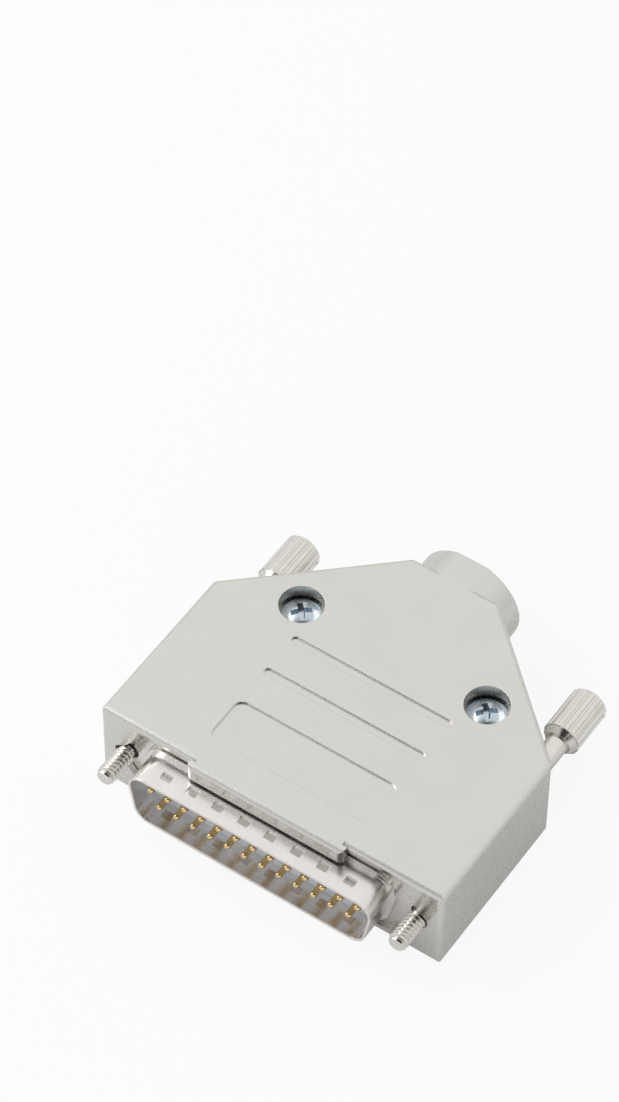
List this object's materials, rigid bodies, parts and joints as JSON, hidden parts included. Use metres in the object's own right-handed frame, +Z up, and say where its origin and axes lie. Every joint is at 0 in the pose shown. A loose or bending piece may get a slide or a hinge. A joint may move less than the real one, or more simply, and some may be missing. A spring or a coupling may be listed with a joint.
{
  "type": "d-sub hood",
  "caption": "Two-piece metal hood for a D-shaped multi-way plug, with captive knurled jackscrews, cover screws and a two-part cable clamp.",
  "frame": {"origin": "on the flat underside of the base shell, in the middle plane, below the rear face of the plug's flange", "axes": "+Z up from the underside towards the cover, +Y towards the cable exit, -Y towards the mating side, X along the row of pins"},
  "size_m": [0.0548, 0.0543, 0.0152],
  "materials": {
    "nickel_zinc": "satin nickel plate on die-cast zinc",
    "zinc_steel": "bluish zinc plate",
    "bright_nickel": "bright nickel plate",
    "black_plastic": "semi-gloss black moulding",
    "tinned_steel": "tin plate on drawn steel",
    "pale_plastic": "satin pale blue-grey moulding",
    "gold_pin": "gold flash"
  },
  "bodies": {
    "base": {"base_shell": "nickel_zinc", "clamp_lower": "black_plastic", "clamp_upper": "black_plastic", "plug_front_shell": "tinned_steel", "plug_rear_shell": "tinned_steel", "front_insulator": "pale_plastic", "rear_insulator": "pale_plastic", "pin_1": "gold_pin", "pin_2": "gold_pin", "pin_3": "gold_pin", "pin_4": "gold_pin", "pin_5": "gold_pin", "pin_6": "gold_pin", "pin_7": "gold_pin", "pin_8": "gold_pin", "pin_9": "gold_pin", "pin_10": "gold_pin", "pin_11": "gold_pin", "pin_12": "gold_pin", "pin_13": "gold_pin", "pin_14": "gold_pin", "pin_15": "gold_pin", "pin_16": "gold_pin", "pin_17": "gold_pin", "pin_18": "gold_pin", "pin_19": "gold_pin", "pin_20": "gold_pin", "pin_21": "gold_pin", "pin_22": "gold_pin", "pin_23": "gold_pin", "pin_24": "gold_pin", "pin_25": "gold_pin"},
    "cover": {"cover_shell": "nickel_zinc"},
    "cover_screw_left": {"cover_screw_left": "zinc_steel"},
    "cover_screw_right": {"cover_screw_right": "zinc_steel"},
    "jackscrew_left": {"jackscrew_left": "bright_nickel"},
    "jackscrew_right": {"jackscrew_right": "bright_nickel"}
  },
  "joints": [
    {"name": "cover_lift", "type": "slide", "parent": "base", "child": "cover", "axis": [0, 0, 1], "range_m": [0, 0.09]},
    {"name": "cover_screw_left_lift", "type": "slide", "parent": "cover", "child": "cover_screw_left", "axis": [0, 0, 1], "range_m": [0, 0.015]},
    {"name": "cover_screw_right_lift", "type": "slide", "parent": "cover", "child": "cover_screw_right", "axis": [0, 0, 1], "range_m": [0, 0.015]},
    {"name": "jackscrew_left_turn", "type": "hinge", "parent": "base", "child": "jackscrew_left", "pos_m": [-0.02352, 0, 0.0076], "axis": [0, 1, 0], "continuous": true},
    {"name": "jackscrew_right_turn", "type": "hinge", "parent": "base", "child": "jackscrew_right", "pos_m": [0.02352, 0, 0.0076], "axis": [0, 1, 0], "continuous": true}
  ]
}
